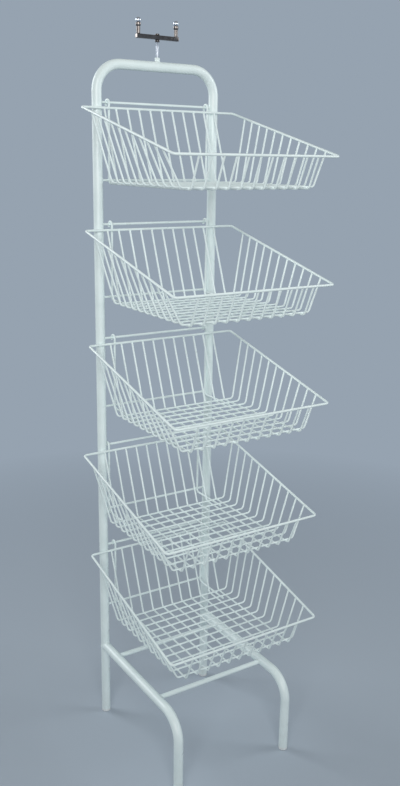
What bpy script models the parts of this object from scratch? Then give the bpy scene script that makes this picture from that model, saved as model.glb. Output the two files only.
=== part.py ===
"""Five-tier produce basket stand.

A tube hoop and two bent front legs carry five wire baskets, which hook over bars
between the uprights and lift off. A sign fork turns on a stem at the top.
Metres, +Z up, the front faces -Y. The origin is on the floor, under the middle of
the stand's outline.
"""

import math

import bmesh
import bpy
from mathutils import Matrix, Vector

# Room left between pieces that touch
CLEARANCE = 0.0003

# Frame tubes: the hoop behind and the two legs in front
TUBE_D = 0.022
TUBE_WALL = 0.0015
TUBE_BEND_R = 0.057
UPRIGHT_SPACING = 0.300
HOOP_RISE = 0.080
LEG_REACH = 0.363
SIDE_TUBE_HEIGHT = 0.189

# Rods across the base, one near the uprights and one near the front legs
BASE_BAR_D = 0.0115
REAR_BASE_BAR_INSET = 0.0635
FRONT_BASE_BAR_INSET = 0.098

# Rods between the uprights: a hanging bar and a rest bar for each basket
TIERS = 5
BAR_D = 0.0055
LOWEST_BAR_RISE = 0.278
TIER_PITCH = 0.260
REST_BAR_RISE = 0.006

# Plastic plugs in the tubes' feet
FOOT_LIP = 0.006
FOOT_LIP_EDGE = 0.0008
FOOT_SPIGOT = 0.018
FOOT_SPIGOT_TAPER = 0.0008

# Basket wires
RIM_WIRE_D = 0.0055
MAT_WIRE_D = 0.0042
HANGER_WIRE_D = 0.005

# Basket rim: a flat loop that slopes down to the front, measured from the hanging bar
RIM_WIDTH = 0.390
RIM_DEPTH = 0.384
RIM_BACK_DROP = 0.012
RIM_FRONT_DROP = 0.106
RIM_CORNER_R = 0.007

# Basket floor: the mat's wires fold up along its four edges
FLOOR_WIDTH = 0.318
FLOOR_DEPTH = 0.297
FLOOR_BACK_INSET = 0.060
FLOOR_DROP = 0.170
FOLD_R = 0.009
LENGTH_WIRES = 11
LENGTH_WIRE_EDGE = 0.018
CROSS_WIRES = 11
CROSS_WIRE_FLOOR_EDGE = 0.0085
CROSS_WIRE_RIM_BACK_EDGE = 0.0495
CROSS_WIRE_RIM_FRONT_EDGE = 0.0425
WELD_SET_DOWN = 0.0012

# Hangers: a hook over the hanging bar, a leg down to the rest bar, a foot under the floor
HOOK_SLACK = 0.0008
HOOK_TIP = 0.007
HANGER_BEND_R = 0.008
HANGER_FOOT_PAST = 0.007
LEAST_SIDE_PLAY = 0.006

# Where each basket hangs within its side play, from the left stop -1 to the right stop 1
BASKET_PLACES = (0.2, 0.6, 1.0, -1.0, 0.5)

# Sign fork on its stem
SOCKET_D = 0.0115
SOCKET_HEIGHT = 0.008
SOCKET_DEPTH = 0.007
SOCKET_EDGE = 0.001
STEM_D = 0.006
SIGN_BAR_RISE = 0.061
SIGN_BAR_END = 0.0055
SIGN_BAR_SIDE = 0.009
SIGN_BAR_EDGE = 0.001
SIGN_POST_SPACING = 0.095
SIGN_POST_D = 0.0085
SIGN_POST_HEIGHT = 0.022
SIGN_POST_COLLAR_D = 0.0115
SIGN_POST_COLLAR = 0.004
SIGN_TENON_D = 0.004
SIGN_KNOB_D = 0.012
SIGN_KNOB_SPIGOT = 0.005
NUT_FLATS = 0.010
NUT_HEIGHT = 0.005
CAP_NUT_HEIGHT = 0.0035
CAP_NUT_THREAD = 0.0015

# Facets
TUBE_SIDES = 12
BEND_STEPS = 6
ROD_SIDES = 10
RIM_SIDES = 8
RIM_CORNER_STEPS = 2
HANGER_SIDES = 6
HOOK_STEPS = 2
MAT_SIDES = 5
FOLD_STEPS = 1
TURNED_SIDES = 12
KNOB_ROWS = 5
SMOOTH_ANGLE = math.radians(75)

# Places worked out from the sizes above
TUBE_R = TUBE_D / 2
RIM_R = RIM_WIRE_D / 2
UPRIGHT_X = UPRIGHT_SPACING / 2
TUBE_END = FOOT_LIP + CLEARANCE
TOP_BAR_HEIGHT = SIDE_TUBE_HEIGHT + LOWEST_BAR_RISE + (TIERS - 1) * TIER_PITCH
HOOP_HEIGHT = TOP_BAR_HEIGHT + HOOP_RISE
REST_BAR_DROP = FLOOR_DROP - REST_BAR_RISE
HOOK_SEAT = (BAR_D + HANGER_WIRE_D) / 2 + CLEARANCE
HANGER_TO_RIM = (RIM_WIRE_D + HANGER_WIRE_D) / 2 + CLEARANCE
RIM_BACK_Y = -max(TUBE_R + RIM_R + CLEARANCE, HOOK_SEAT + HANGER_TO_RIM)
RIM_FRONT_Y = RIM_BACK_Y - RIM_DEPTH
HANGER_LEG_Y = RIM_BACK_Y + HANGER_TO_RIM
FLOOR_BACK_Y = RIM_BACK_Y - FLOOR_BACK_INSET
FLOOR_FRONT_Y = FLOOR_BACK_Y - FLOOR_DEPTH
CROSS_LAYER = MAT_WIRE_D + CLEARANCE
LENGTH_PITCH = (FLOOR_WIDTH - 2 * LENGTH_WIRE_EDGE) / (LENGTH_WIRES - 1)
CROSS_FLOOR_PITCH = (FLOOR_DEPTH - 2 * CROSS_WIRE_FLOOR_EDGE) / (CROSS_WIRES - 1)
CROSS_RIM_SPAN = RIM_DEPTH - CROSS_WIRE_RIM_BACK_EDGE - CROSS_WIRE_RIM_FRONT_EDGE
CROSS_RIM_PITCH = CROSS_RIM_SPAN / (CROSS_WIRES - 1)
HANGER_FOOT_Z = CROSS_LAYER - FLOOR_DROP - (MAT_WIRE_D + HANGER_WIRE_D) / 2 - CLEARANCE
HANGER_FOOT_END = FLOOR_BACK_Y - CROSS_WIRE_FLOOR_EDGE - CROSS_FLOOR_PITCH - HANGER_FOOT_PAST
HANGER_MOST_X = UPRIGHT_X - TUBE_R - HANGER_WIRE_D / 2 - LEAST_SIDE_PLAY
HANGER_X = LENGTH_PITCH * (math.floor(HANGER_MOST_X / LENGTH_PITCH - 0.5) + 0.5)
SIDE_PLAY = UPRIGHT_X - TUBE_R - HANGER_WIRE_D / 2 - CLEARANCE - HANGER_X
UPRIGHT_Y = (max(RIM_R - RIM_FRONT_Y, LEG_REACH + TUBE_R) - TUBE_R) / 2
SIGN_BAR_HEIGHT = HOOP_HEIGHT + SIGN_BAR_RISE
SIGN_BAR_TOP = SIGN_BAR_HEIGHT + SIGN_BAR_SIDE / 2

X_AXIS = Vector((1, 0, 0))
Y_AXIS = Vector((0, 1, 0))
Z_AXIS = Vector((0, 0, 1))


def clear_scene():
    """Remove every object that the file holds."""
    for item in list(bpy.data.objects):
        bpy.data.objects.remove(item)


def finish(name, colour, roughness, metallic):
    """A Principled material."""
    material = bpy.data.materials.new(name)
    material.use_nodes = True
    shader = material.node_tree.nodes["Principled BSDF"]
    shader.inputs["Base Color"].default_value = (*colour, 1)
    shader.inputs["Roughness"].default_value = roughness
    shader.inputs["Metallic"].default_value = metallic
    return material


def add_empty(name, location, parent=None):
    """An empty that carries the pieces of one body."""
    empty = bpy.data.objects.new(name, None)
    empty.location = location
    empty.parent = parent
    bpy.context.scene.collection.objects.link(empty)
    return empty


def add_piece(name, mesh, material, parent, location=(0, 0, 0)):
    """One named piece. Copies of a piece share its mesh."""
    if not mesh.materials:
        mesh.materials.append(material)
    piece = bpy.data.objects.new(name, mesh)
    piece.parent = parent
    piece.location = location
    bpy.context.scene.collection.objects.link(piece)
    return piece


def mesh_of(bm, name):
    """The finished mesh of a closed form, with round sides shaded smooth."""
    bmesh.ops.recalc_face_normals(bm, faces=bm.faces)
    mesh = bpy.data.meshes.new(name)
    bm.to_mesh(mesh)
    bm.free()
    mesh.shade_smooth()
    mesh.set_sharp_from_angle(angle=SMOOTH_ANGLE)
    return mesh


def combined(mesh, tool, operation):
    """The mesh with the tool's mesh joined to it or cut from it."""
    base = bpy.data.objects.new("base", mesh)
    cutter = bpy.data.objects.new("cutter", tool)
    for item in (base, cutter):
        bpy.context.scene.collection.objects.link(item)
    modifier = base.modifiers.new("combine", "BOOLEAN")
    modifier.operation = operation
    modifier.solver = "EXACT"
    modifier.object = cutter
    depsgraph = bpy.context.evaluated_depsgraph_get()
    result = bpy.data.meshes.new_from_object(base.evaluated_get(depsgraph))
    for item in (base, cutter):
        bpy.data.objects.remove(item)
    result.name = mesh.name
    result.shade_smooth()
    result.set_sharp_from_angle(angle=SMOOTH_ANGLE)
    return result


def rounded(corners, radius, steps, closed=False):
    """A path through the corners, with an arc of this radius at each one."""
    path = []
    count = len(corners)
    for i, corner in enumerate(corners):
        if not closed and i in (0, count - 1):
            path.append(corner)
            continue
        back = (corners[i - 1] - corner).normalized()
        ahead = (corners[(i + 1) % count] - corner).normalized()
        half = back.angle(ahead) / 2
        middle = corner + (back + ahead).normalized() * radius / math.sin(half)
        start = corner + back * radius / math.tan(half) - middle
        end = corner + ahead * radius / math.tan(half) - middle
        for k in range(steps + 1):
            point = middle + radius * start.slerp(end, k / steps)
            if not path or (point - path[-1]).length > CLEARANCE / 10:
                path.append(point)
    return path


def rings_along(bm, path, normal, radius, sides, closed=False):
    """Rings of vertices along a flat path, mitred where it turns."""
    rings = []
    count = len(path)
    for i, point in enumerate(path):
        inner = closed or 0 < i < count - 1
        before = path[i - 1] if inner or i else point
        after = path[(i + 1) % count] if inner or not i else point
        arriving = (point - before if inner or i else after - point).normalized()
        leaving = (after - point).normalized() if inner else arriving
        tangent = (arriving + leaving).normalized()
        across = tangent.cross(normal) / tangent.dot(arriving)
        ring = []
        for k in range(sides):
            turn = 2 * math.pi * k / sides
            offset = math.cos(turn) * normal + math.sin(turn) * across
            ring.append(bm.verts.new(point + radius * offset))
        rings.append(ring)
    return rings


def skin(bm, rings, closed=False):
    """Faces between neighbouring rings."""
    pairs = list(zip(rings, rings[1:]))
    if closed:
        pairs.append((rings[-1], rings[0]))
    for first, second in pairs:
        for k in range(len(first)):
            bm.faces.new((first[k - 1], first[k], second[k], second[k - 1]))


def wire(bm, path, normal, diameter, sides):
    """A round wire with flat cut ends."""
    rings = rings_along(bm, path, normal, diameter / 2, sides)
    skin(bm, rings)
    bm.faces.new(rings[0])
    bm.faces.new(rings[-1])


def wire_loop(bm, path, normal, diameter, sides):
    """A round wire welded end to end."""
    rings = rings_along(bm, path, normal, diameter / 2, sides, closed=True)
    skin(bm, rings, closed=True)


def hollow_tube(name, path, normal):
    """A frame tube with open ends."""
    bm = bmesh.new()
    outer = rings_along(bm, path, normal, TUBE_R, TUBE_SIDES)
    bore = rings_along(bm, path, normal, TUBE_R - TUBE_WALL, TUBE_SIDES)
    skin(bm, outer)
    skin(bm, bore)
    skin(bm, (outer[0], bore[0]))
    skin(bm, (outer[-1], bore[-1]))
    return mesh_of(bm, name)


def rod(name, diameter, start, end, sides=ROD_SIDES):
    """A straight round bar."""
    bm = bmesh.new()
    direction = (end - start).normalized()
    normal = Y_AXIS if abs(direction.y) < abs(direction.z) + abs(direction.x) else X_AXIS
    wire(bm, (start, end), normal, diameter, sides)
    return mesh_of(bm, name)


def turned(name, profile, sides=TURNED_SIDES):
    """A form turned about Z from radius and height pairs, listed round its section."""
    bm = bmesh.new()
    points = [bm.verts.new((radius, 0, height)) for radius, height in profile]
    edges = [bm.edges.new(pair) for pair in zip(points, points[1:])]
    if profile[0][0] and profile[-1][0]:
        edges.append(bm.edges.new((points[-1], points[0])))
    bmesh.ops.spin(
        bm,
        geom=points + edges,
        axis=Z_AXIS,
        cent=(0, 0, 0),
        steps=sides,
        angle=2 * math.pi,
        use_merge=True,
    )
    bmesh.ops.remove_doubles(bm, verts=bm.verts, dist=CLEARANCE / 100)
    return mesh_of(bm, name)


def add_hoop(stand, coat):
    """The inverted U whose legs are the stand's uprights."""
    corners = (
        Vector((-UPRIGHT_X, 0, TUBE_END)),
        Vector((-UPRIGHT_X, 0, HOOP_HEIGHT)),
        Vector((UPRIGHT_X, 0, HOOP_HEIGHT)),
        Vector((UPRIGHT_X, 0, TUBE_END)),
    )
    path = rounded(corners, TUBE_BEND_R, BEND_STEPS)
    add_piece("rear_hoop", hollow_tube("rear_hoop", path, Y_AXIS), coat, stand)


def add_front_legs(stand, coat):
    """Tubes that butt on the uprights, run forward and bend down to the floor."""
    corners = (
        Vector((0, 0, SIDE_TUBE_HEIGHT)),
        Vector((0, -LEG_REACH, SIDE_TUBE_HEIGHT)),
        Vector((0, -LEG_REACH, TUBE_END)),
    )
    path = rounded(corners, TUBE_BEND_R, BEND_STEPS)
    tube = hollow_tube("front_leg", path, X_AXIS)
    cope_start = Vector((0, 0, SIDE_TUBE_HEIGHT - TUBE_D))
    cope_end = Vector((0, 0, SIDE_TUBE_HEIGHT + TUBE_D))
    cope_d = TUBE_D + 2 * CLEARANCE
    leg = combined(tube, rod("leg_cope", cope_d, cope_start, cope_end, TUBE_SIDES), "DIFFERENCE")
    add_piece("left_front_leg", leg, coat, stand, (-UPRIGHT_X, 0, 0))
    add_piece("right_front_leg", leg, coat, stand, (UPRIGHT_X, 0, 0))


def add_cross_rod(name, diameter, stand, coat, reach, height):
    """A rod from one tube's side to the other's."""
    half = UPRIGHT_X - TUBE_R - CLEARANCE
    start = Vector((-half, 0, 0))
    end = Vector((half, 0, 0))
    add_piece(name, rod(name, diameter, start, end), coat, stand, (0, -reach, height))


def add_cross_rods(stand, coat):
    """The base's two rods, and a hanging bar and a rest bar for each basket."""
    front_reach = LEG_REACH - FRONT_BASE_BAR_INSET
    add_cross_rod("rear_base_bar", BASE_BAR_D, stand, coat, REAR_BASE_BAR_INSET, SIDE_TUBE_HEIGHT)
    add_cross_rod("front_base_bar", BASE_BAR_D, stand, coat, front_reach, SIDE_TUBE_HEIGHT)
    for tier in range(TIERS):
        height = bar_height(tier)
        add_cross_rod(f"hanging_bar_{tier + 1}", BAR_D, stand, coat, 0, height)
        add_cross_rod(f"rest_bar_{tier + 1}", BAR_D, stand, coat, 0, height - REST_BAR_DROP)


def add_feet(stand, plastic):
    """Plugs with a lip under each tube end and a tapered spigot inside it."""
    spigot_r = TUBE_R - TUBE_WALL - CLEARANCE
    profile = (
        (0, 0),
        (TUBE_R - FOOT_LIP_EDGE, 0),
        (TUBE_R, FOOT_LIP_EDGE),
        (TUBE_R, FOOT_LIP),
        (spigot_r, FOOT_LIP),
        (spigot_r - FOOT_SPIGOT_TAPER, FOOT_LIP + FOOT_SPIGOT),
        (0, FOOT_LIP + FOOT_SPIGOT),
    )
    plug = turned("foot", profile)
    for side, x in (("left", -UPRIGHT_X), ("right", UPRIGHT_X)):
        add_piece(f"{side}_rear_foot", plug, plastic, stand, (x, 0, 0))
        add_piece(f"{side}_front_foot", plug, plastic, stand, (x, -LEG_REACH, 0))


def bar_height(tier):
    """Height of a tier's hanging bar, counted from the top."""
    return TOP_BAR_HEIGHT - TIER_PITCH * tier


def rim_height(y):
    """Height of the sloping rim, from the hanging bar."""
    share = (RIM_BACK_Y - y) / RIM_DEPTH
    return -RIM_BACK_DROP - share * (RIM_FRONT_DROP - RIM_BACK_DROP)


def basket_rim():
    """The heavy wire round the basket's mouth."""
    half = RIM_WIDTH / 2
    corners = [
        Vector((x, y, rim_height(y)))
        for x, y in (
            (-half, RIM_BACK_Y),
            (half, RIM_BACK_Y),
            (half, RIM_FRONT_Y),
            (-half, RIM_FRONT_Y),
        )
    ]
    normal = (corners[1] - corners[0]).cross(corners[1] - corners[2]).normalized()
    bm = bmesh.new()
    path = rounded(corners, RIM_CORNER_R, RIM_CORNER_STEPS, closed=True)
    wire_loop(bm, path, normal, RIM_WIRE_D, RIM_SIDES)
    return mesh_of(bm, "basket_rim")


def below_rim(corner, floor_corner, rail):
    """The point where a mat wire's flat end clears the rim, which runs along the rail here."""
    down = (floor_corner - corner).normalized()
    slant = abs(down.dot(rail))
    room = RIM_R + CLEARANCE + slant * MAT_WIRE_D / 2
    return corner + down * room / math.sqrt(1 - slant ** 2)


def folded_wire(bm, corners, normal, rail):
    """One mat wire: up one wall, across the floor and up the other, butting under the rim."""
    first = below_rim(corners[0], corners[1], rail)
    last = below_rim(corners[3], corners[2], rail)
    path = rounded((first, corners[1], corners[2], last), FOLD_R, FOLD_STEPS)
    wire(bm, path, normal, MAT_WIRE_D, MAT_SIDES)


def basket_mat():
    """The welded mat. The middle wire of each layer is set down into the other layer."""
    lengthways = bmesh.new()
    middle = (LENGTH_WIRES - 1) / 2
    for i in range(LENGTH_WIRES):
        x = (i - middle) * LENGTH_PITCH
        floor = -FLOOR_DROP + (WELD_SET_DOWN if i == middle else 0)
        corners = (
            Vector((x, RIM_BACK_Y, rim_height(RIM_BACK_Y))),
            Vector((x, FLOOR_BACK_Y, floor)),
            Vector((x, FLOOR_FRONT_Y, floor)),
            Vector((x, RIM_FRONT_Y, rim_height(RIM_FRONT_Y))),
        )
        folded_wire(lengthways, corners, X_AXIS, X_AXIS)
    crossways = bmesh.new()
    rail = Vector((0, RIM_DEPTH, RIM_FRONT_DROP - RIM_BACK_DROP)).normalized()
    middle = (CROSS_WIRES - 1) / 2
    for i in range(CROSS_WIRES):
        floor_y = FLOOR_BACK_Y - CROSS_WIRE_FLOOR_EDGE - i * CROSS_FLOOR_PITCH
        rim_y = RIM_BACK_Y - CROSS_WIRE_RIM_BACK_EDGE - i * CROSS_RIM_PITCH
        floor = CROSS_LAYER - FLOOR_DROP - (WELD_SET_DOWN if i == middle else 0)
        corners = (
            Vector((-RIM_WIDTH / 2, rim_y, rim_height(rim_y))),
            Vector((-FLOOR_WIDTH / 2, floor_y, floor)),
            Vector((FLOOR_WIDTH / 2, floor_y, floor)),
            Vector((RIM_WIDTH / 2, rim_y, rim_height(rim_y))),
        )
        normal = X_AXIS.cross(corners[0] - corners[1]).normalized()
        folded_wire(crossways, corners, normal, rail)
    return combined(mesh_of(lengthways, "basket_mat"), mesh_of(crossways, "cross_wires"), "UNION")


def basket_hanger():
    """A hook over the hanging bar, a leg to the rest bar and a foot under the floor."""
    tip_y = HOOK_SEAT + HOOK_SLACK
    hook_r = (tip_y - HANGER_LEG_Y) / 2
    hook_top = hook_r - math.sqrt(HOOK_SLACK * (-HANGER_LEG_Y - HOOK_SEAT))
    behind_rim = Vector((0, HANGER_LEG_Y, -RIM_BACK_DROP))
    hook = rounded(
        (
            Vector((0, tip_y, -HOOK_TIP)),
            Vector((0, tip_y, hook_top)),
            Vector((0, HANGER_LEG_Y, hook_top)),
            behind_rim,
        ),
        hook_r,
        HOOK_STEPS,
    )
    foot = rounded(
        (
            behind_rim,
            Vector((0, -HOOK_SEAT, HANGER_FOOT_Z)),
            Vector((0, HANGER_FOOT_END, HANGER_FOOT_Z)),
        ),
        HANGER_BEND_R,
        HOOK_STEPS,
    )
    bm = bmesh.new()
    wire(bm, hook[:-1] + foot, X_AXIS, HANGER_WIRE_D, HANGER_SIDES)
    return mesh_of(bm, "basket_hanger")


def add_baskets(stand, coat):
    """Five alike baskets, each carried by an empty on its hanging bar."""
    rim = basket_rim()
    mat = basket_mat()
    hanger = basket_hanger()
    for tier, place in enumerate(BASKET_PLACES[:TIERS]):
        name = f"basket_{tier + 1}"
        basket = add_empty(name, (place * SIDE_PLAY, 0, bar_height(tier)), stand)
        add_piece(f"{name}_rim", rim, coat, basket)
        add_piece(f"{name}_mat", mat, coat, basket)
        add_piece(f"{name}_left_hanger", hanger, coat, basket, (-HANGER_X, 0, 0))
        add_piece(f"{name}_right_hanger", hanger, coat, basket, (HANGER_X, 0, 0))


def add_sign_socket(stand, coat):
    """A boss with a saddle that fits the hoop, bored for the stem."""
    top = TUBE_R + CLEARANCE + SOCKET_HEIGHT
    bore_r = STEM_D / 2 + CLEARANCE
    profile = (
        (0, 0),
        (SOCKET_D / 2, 0),
        (SOCKET_D / 2, top - SOCKET_EDGE),
        (SOCKET_D / 2 - SOCKET_EDGE, top),
        (bore_r, top),
        (bore_r, top - SOCKET_DEPTH),
        (0, top - SOCKET_DEPTH),
    )
    saddle_d = TUBE_D + 2 * CLEARANCE
    saddle = rod("saddle", saddle_d, -X_AXIS * SOCKET_D, X_AXIS * SOCKET_D, TUBE_SIDES)
    socket = combined(turned("sign_socket", profile), saddle, "DIFFERENCE")
    add_piece("sign_socket", socket, coat, stand, (0, 0, HOOP_HEIGHT))
    return HOOP_HEIGHT + top - SOCKET_DEPTH + CLEARANCE


def hexagon_nut(name, height):
    """A hexagonal nut bored for the stem, standing on its origin."""
    corner_d = NUT_FLATS / math.cos(math.pi / 6)
    blank = rod(name, corner_d, Vector(), Z_AXIS * height, 6)
    bore = rod("nut_bore", STEM_D + 2 * CLEARANCE, -Z_AXIS * height, Z_AXIS * 2 * height, TURNED_SIDES)
    return combined(blank, bore, "DIFFERENCE")


def add_stem(stand, chrome, foot):
    """The stem, with a nut under the sign bar and a domed nut over it."""
    bar_foot = SIGN_BAR_HEIGHT - SIGN_BAR_SIDE / 2
    top = SIGN_BAR_TOP + CLEARANCE + CAP_NUT_THREAD
    stem = rod("sign_stem", STEM_D, Z_AXIS * foot, Z_AXIS * top, TURNED_SIDES)
    add_piece("sign_stem", stem, chrome, stand)
    nut = hexagon_nut("sign_lock_nut", NUT_HEIGHT)
    add_piece("sign_lock_nut", nut, chrome, stand, (0, 0, bar_foot - CLEARANCE - NUT_HEIGHT))
    bore_r = STEM_D / 2 + CLEARANCE
    dome_r = NUT_FLATS / 2
    profile = (
        (0, CAP_NUT_THREAD + CLEARANCE),
        (bore_r, CAP_NUT_THREAD + CLEARANCE),
        (bore_r, 0),
        (dome_r, 0),
        (dome_r, CAP_NUT_HEIGHT / 2),
        (dome_r * math.cos(math.pi / 4), CAP_NUT_HEIGHT / 2 * (1 + math.sin(math.pi / 4))),
        (0, CAP_NUT_HEIGHT),
    )
    cap_nut = turned("sign_cap_nut", profile)
    add_piece("sign_cap_nut", cap_nut, chrome, stand, (0, 0, SIGN_BAR_TOP + CLEARANCE))


def sign_bar():
    """A square bar with a bore on the stem and one for each post's tenon."""
    bm = bmesh.new()
    length = SIGN_POST_SPACING + 2 * SIGN_BAR_END
    size = Matrix.Diagonal((length, SIGN_BAR_SIDE, SIGN_BAR_SIDE, 1))
    bmesh.ops.create_cube(bm, size=1, matrix=size)
    bmesh.ops.bevel(bm, geom=bm.edges[:], offset=SIGN_BAR_EDGE, segments=1, affect="EDGES")
    bar = mesh_of(bm, "sign_bar")
    bores = ((0, STEM_D), (-SIGN_POST_SPACING / 2, SIGN_TENON_D), (SIGN_POST_SPACING / 2, SIGN_TENON_D))
    for x, diameter in bores:
        reach = Vector((0, 0, SIGN_BAR_SIDE))
        centre = Vector((x, 0, 0))
        bore = rod("bore", diameter + 2 * CLEARANCE, centre - reach, centre + reach, TURNED_SIDES)
        bar = combined(bar, bore, "DIFFERENCE")
    return bar


def sign_post():
    """A turned post with a tenon through the bar, a flared collar and a bored top."""
    foot = SIGN_BAR_SIDE / 2 + CLEARANCE
    top = foot + SIGN_POST_HEIGHT
    collar_r = SIGN_POST_COLLAR_D / 2
    bore_r = SIGN_TENON_D / 2 + CLEARANCE
    profile = (
        (0, -SIGN_BAR_SIDE / 2),
        (SIGN_TENON_D / 2, -SIGN_BAR_SIDE / 2),
        (SIGN_TENON_D / 2, foot),
        (SIGN_POST_D / 2, foot),
        (SIGN_POST_D / 2, top - 2 * SIGN_POST_COLLAR),
        (collar_r, top - SIGN_POST_COLLAR),
        (collar_r, top),
        (bore_r, top),
        (bore_r, top - SIGN_KNOB_SPIGOT - CLEARANCE),
        (0, top - SIGN_KNOB_SPIGOT - CLEARANCE),
    )
    return turned("sign_post", profile)


def sign_knob():
    """A ball on a spigot, with a flat seat, standing on its seat."""
    radius = SIGN_KNOB_D / 2
    seat = math.asin(SIGN_TENON_D / SIGN_KNOB_D) + math.pi / 12
    profile = [
        (0, -SIGN_KNOB_SPIGOT),
        (SIGN_TENON_D / 2, -SIGN_KNOB_SPIGOT),
        (SIGN_TENON_D / 2, 0),
    ]
    for k in range(KNOB_ROWS + 1):
        turn = seat + (math.pi - seat) * k / KNOB_ROWS
        profile.append((radius * math.sin(turn), radius * (math.cos(seat) - math.cos(turn))))
    profile[-1] = (0, profile[-1][1])
    return turned("sign_knob", profile)


def add_sign_fork(stand, chrome):
    """The fork that turns on the stem: a bar, two posts and their knobs."""
    fork = add_empty("sign_fork", (0, 0, SIGN_BAR_HEIGHT), stand)
    add_piece("sign_bar", sign_bar(), chrome, fork)
    post = sign_post()
    knob = sign_knob()
    knob_seat = SIGN_BAR_SIDE / 2 + SIGN_POST_HEIGHT + 2 * CLEARANCE
    for side, x in (("left", -SIGN_POST_SPACING / 2), ("right", SIGN_POST_SPACING / 2)):
        add_piece(f"sign_{side}_post", post, chrome, fork, (x, 0, 0))
        add_piece(f"sign_{side}_knob", knob, chrome, fork, (x, 0, knob_seat))


def main():
    """Build the stand."""
    clear_scene()
    coat = finish("white_powder_coat", (0.84, 0.88, 0.87), 0.35, 0.0)
    plastic = finish("grey_plastic", (0.74, 0.78, 0.78), 0.5, 0.0)
    chrome = finish("bright_chrome", (0.75, 0.76, 0.78), 0.12, 1.0)
    stand = add_empty("stand", (0, UPRIGHT_Y, 0))
    add_hoop(stand, coat)
    add_front_legs(stand, coat)
    add_cross_rods(stand, coat)
    add_feet(stand, plastic)
    add_baskets(stand, coat)
    stem_foot = add_sign_socket(stand, coat)
    add_stem(stand, chrome, stem_foot)
    add_sign_fork(stand, chrome)


main()
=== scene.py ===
"""Looks of a five-tier produce basket stand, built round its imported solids.

Metres, +Z up, the front faces -Y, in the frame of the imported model.
"""

import logging
import math
from dataclasses import dataclass
from enum import Enum
from typing import Optional, Sequence

import bmesh
import bpy
from mathutils import Matrix, Vector


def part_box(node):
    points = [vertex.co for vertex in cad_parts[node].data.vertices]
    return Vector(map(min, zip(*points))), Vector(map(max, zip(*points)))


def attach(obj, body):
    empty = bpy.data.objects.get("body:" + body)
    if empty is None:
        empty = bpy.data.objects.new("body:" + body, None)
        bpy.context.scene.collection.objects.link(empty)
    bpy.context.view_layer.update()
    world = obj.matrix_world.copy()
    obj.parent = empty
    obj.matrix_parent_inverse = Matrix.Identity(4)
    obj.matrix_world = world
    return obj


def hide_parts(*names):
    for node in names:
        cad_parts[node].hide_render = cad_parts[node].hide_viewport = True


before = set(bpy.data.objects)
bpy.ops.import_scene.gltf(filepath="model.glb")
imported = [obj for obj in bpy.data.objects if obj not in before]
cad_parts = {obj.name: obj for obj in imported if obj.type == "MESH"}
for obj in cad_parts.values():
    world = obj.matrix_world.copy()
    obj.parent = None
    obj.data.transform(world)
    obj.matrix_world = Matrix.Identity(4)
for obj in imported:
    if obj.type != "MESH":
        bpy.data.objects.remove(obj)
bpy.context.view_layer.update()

LOG = logging.getLogger("basket_stand")
PHOTO_SIZE = (400, 786)

Triple = tuple[float, float, float]
Colour = Triple
Pair = tuple[float, float]
Profile = list[Pair]
Ring = list[Vector]
Points = list[bmesh.types.BMVert]
Socket = bpy.types.NodeSocket
Material = bpy.types.Material
Mesh = bpy.types.Mesh
Making = bmesh.types.BMesh

X_AXIS = Vector((1, 0, 0))
Y_AXIS = Vector((0, 1, 0))
Z_AXIS = Vector((0, 0, 1))
FULL_TURN = 2 * math.pi
QUARTER_TURN = math.pi / 2
MERGE_DISTANCE = 0.000002
BEAD_ROUNDS = 2
FRAME_BODY = "frame"
FORK_BODY = "sign_fork"


class End(Enum):
    """How a bar or wire ends."""

    WELDED = "welded"
    CUT = "cut"
    OPEN = "open"


def centre_of(node: str) -> Vector:
    """Middle of a CAD node's box."""
    low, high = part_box(node)
    return (low + high) / 2


def foot_of(node: str) -> Vector:
    """Middle of the underside of a CAD node's box."""
    return Vector((*centre_of(node).xy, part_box(node)[0].z))


def side_view(x: float, *places: Pair) -> Ring:
    """Points given by depth and height, all at one X."""
    return [Vector((x, y, z)) for y, z in places]


def add_item(name: str, data: bpy.types.ID) -> bpy.types.Object:
    """Put a new object in the scene.

    Args:
        name: The object's name.
        data: Its mesh, lamp or camera.

    Returns:
        The object, at the origin.
    """
    item = bpy.data.objects.new(name, data)
    bpy.context.scene.collection.objects.link(item)
    return item


@dataclass(frozen=True)
class Noise:
    """A noise: the size of its blotches in metres and the span of its values that is used."""

    feature: float
    octaves: int
    span: Pair = (0, 1)
    stretch: Optional[Triple] = None


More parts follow.
